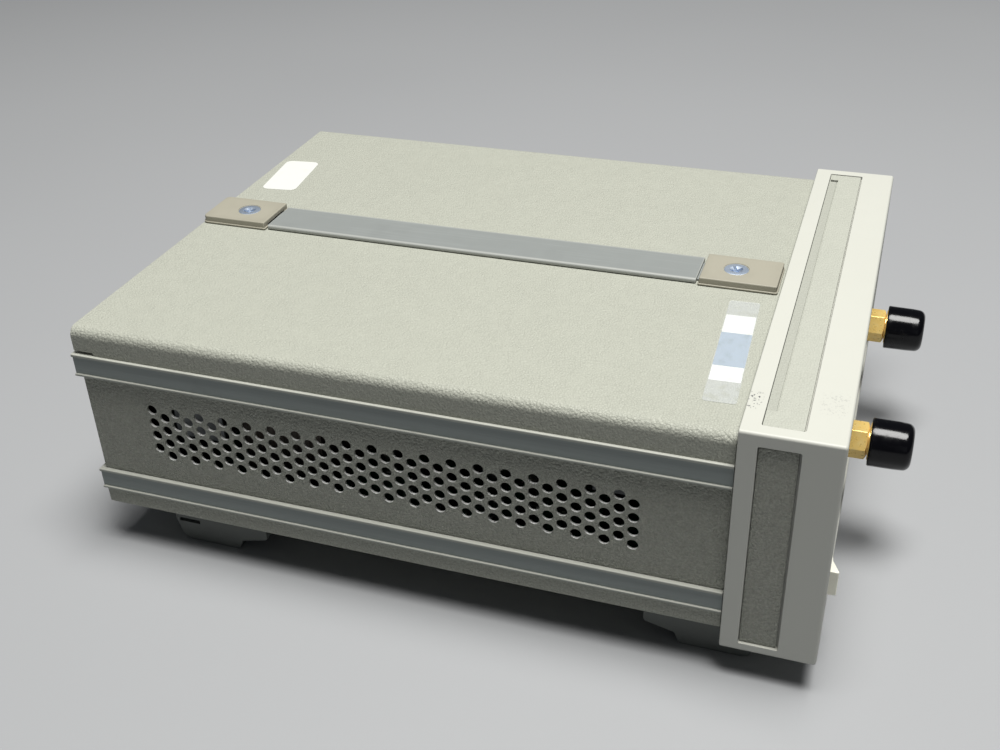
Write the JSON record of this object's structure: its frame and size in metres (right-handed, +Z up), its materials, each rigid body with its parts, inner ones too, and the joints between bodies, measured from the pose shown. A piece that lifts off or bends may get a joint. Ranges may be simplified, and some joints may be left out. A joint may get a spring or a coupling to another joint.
{
  "type": "function generator",
  "caption": "Half-width bench signal source with recessed keyed front panel, capped coaxial outputs, perforated side covers, top strap handle and mains-powered rear panel.",
  "frame": {"origin": "middle of the box's base, on the surface that the feet stand on", "axes": "+X to the right seen from the front, +Y from the front panel to the rear, +Z up"},
  "size_m": [0.2124, 0.3026, 0.101],
  "materials": {
    "frame_paint": "smooth off-white paint on a cast frame",
    "cover_vinyl": "grey-green leather-grain coating on sheet metal",
    "rail_paint": "painted aluminium extrusion",
    "strap_vinyl": "smooth grey vinyl over a spring band",
    "strap_cap_plastic": "moulded tan-grey plastic",
    "foot_plastic": "moulded dark grey plastic",
    "zinc_steel": "bluish zinc plate",
    "gold_plate": "bright gold plate",
    "black_vinyl": "glossy dip-moulded vinyl",
    "key_plastic": "fine-grained cream plastic",
    "panel_paint": "satin dark grey paint",
    "display_window": "smoked filter",
    "circuit_board": "green solder mask",
    "zinc_sheet": "plain plated sheet",
    "heat_sink_anodised": "black anodised",
    "transformer_iron": "varnished laminations",
    "coax_copper": "bare copper jacket",
    "dark_plastic": "moulded black plastic"
  },
  "bodies": {
    "cabinet": {"front_frame": "frame_paint", "rear_frame": "frame_paint", "top_trim_strip": "cover_vinyl", "left_trim_strip": "cover_vinyl", "right_trim_strip": "cover_vinyl", "top_cover": "cover_vinyl", "bottom_cover": "cover_vinyl", "left_side_cover": "cover_vinyl", "right_side_cover": "cover_vinyl", "upper_left_rail": "rail_paint", "upper_right_rail": "rail_paint", "lower_left_rail": "rail_paint", "lower_right_rail": "rail_paint", "carry_strap": "strap_vinyl", "front_strap_cap": "strap_cap_plastic", "rear_strap_cap": "strap_cap_plastic", "front_left_foot": "foot_plastic", "front_right_foot": "foot_plastic", "rear_left_foot": "foot_plastic", "rear_right_foot": "foot_plastic", "front_strap_screw": "zinc_steel", "rear_strap_screw": "zinc_steel", "trigger_socket": "zinc_steel", "sync_connector": "gold_plate", "output_connector": "gold_plate", "sync_nut": "gold_plate", "output_nut": "gold_plate", "front_panel": "panel_paint", "display_window": "display_window", "main_board": "circuit_board", "keyboard_board": "circuit_board", "rear_panel": "zinc_sheet", "chassis_deck": "zinc_sheet", "signal_module": "zinc_sheet", "interface_connector": "zinc_sheet", "fan_guard": "zinc_sheet", "heat_sink": "heat_sink_anodised", "mains_transformer": "transformer_iron", "sync_coax": "coax_copper", "output_coax": "coax_copper", "display_module": "dark_plastic", "line_switch": "dark_plastic", "mains_inlet": "dark_plastic", "fuse_holder": "dark_plastic", "fan_housing": "dark_plastic"},
    "line_key": {"line_key": "key_plastic"},
    "sync_cap": {"sync_dust_cap": "black_vinyl"},
    "output_cap": {"output_dust_cap": "black_vinyl"},
    "rotor": {"fan_rotor": "dark_plastic"},
    "sine_key": {"sine_key": "key_plastic"},
    "square_key": {"square_key": "key_plastic"},
    "triangle_key": {"triangle_key": "key_plastic"},
    "frequency_key": {"frequency_key": "key_plastic"},
    "amplitude_key": {"amplitude_key": "key_plastic"},
    "offset_key": {"offset_key": "key_plastic"},
    "up_key": {"up_key": "key_plastic"},
    "down_key": {"down_key": "key_plastic"},
    "left_key": {"left_key": "key_plastic"},
    "right_key": {"right_key": "key_plastic"},
    "output_key": {"output_key": "key_plastic"}
  },
  "joints": [
    {"name": "line_key_press", "type": "slide", "parent": "cabinet", "child": "line_key", "axis": [0, 1, 0], "range_m": [0, 0.0025], "stiffness_N_per_m": 600},
    {"name": "sine_key_press", "type": "slide", "parent": "cabinet", "child": "sine_key", "axis": [0, 1, 0], "range_m": [0, 0.0015], "stiffness_N_per_m": 500},
    {"name": "square_key_press", "type": "slide", "parent": "cabinet", "child": "square_key", "axis": [0, 1, 0], "range_m": [0, 0.0015], "stiffness_N_per_m": 500},
    {"name": "triangle_key_press", "type": "slide", "parent": "cabinet", "child": "triangle_key", "axis": [0, 1, 0], "range_m": [0, 0.0015], "stiffness_N_per_m": 500},
    {"name": "frequency_key_press", "type": "slide", "parent": "cabinet", "child": "frequency_key", "axis": [0, 1, 0], "range_m": [0, 0.0015], "stiffness_N_per_m": 500},
    {"name": "amplitude_key_press", "type": "slide", "parent": "cabinet", "child": "amplitude_key", "axis": [0, 1, 0], "range_m": [0, 0.0015], "stiffness_N_per_m": 500},
    {"name": "offset_key_press", "type": "slide", "parent": "cabinet", "child": "offset_key", "axis": [0, 1, 0], "range_m": [0, 0.0015], "stiffness_N_per_m": 500},
    {"name": "up_key_press", "type": "slide", "parent": "cabinet", "child": "up_key", "axis": [0, 1, 0], "range_m": [0, 0.0015], "stiffness_N_per_m": 500},
    {"name": "down_key_press", "type": "slide", "parent": "cabinet", "child": "down_key", "axis": [0, 1, 0], "range_m": [0, 0.0015], "stiffness_N_per_m": 500},
    {"name": "left_key_press", "type": "slide", "parent": "cabinet", "child": "left_key", "axis": [0, 1, 0], "range_m": [0, 0.0015], "stiffness_N_per_m": 500},
    {"name": "right_key_press", "type": "slide", "parent": "cabinet", "child": "right_key", "axis": [0, 1, 0], "range_m": [0, 0.0015], "stiffness_N_per_m": 500},
    {"name": "output_key_press", "type": "slide", "parent": "cabinet", "child": "output_key", "axis": [0, 1, 0], "range_m": [0, 0.0015], "stiffness_N_per_m": 500},
    {"name": "sync_cap_pull", "type": "slide", "parent": "cabinet", "child": "sync_cap", "axis": [0, -1, 0], "range_m": [0, 0.03]},
    {"name": "output_cap_pull", "type": "slide", "parent": "cabinet", "child": "output_cap", "axis": [0, -1, 0], "range_m": [0, 0.03]},
    {"name": "rotor_spin", "type": "hinge", "parent": "cabinet", "child": "rotor", "pos_m": [0.06, 0.12525, 0.05795], "axis": [0, 1, 0], "continuous": true}
  ]
}
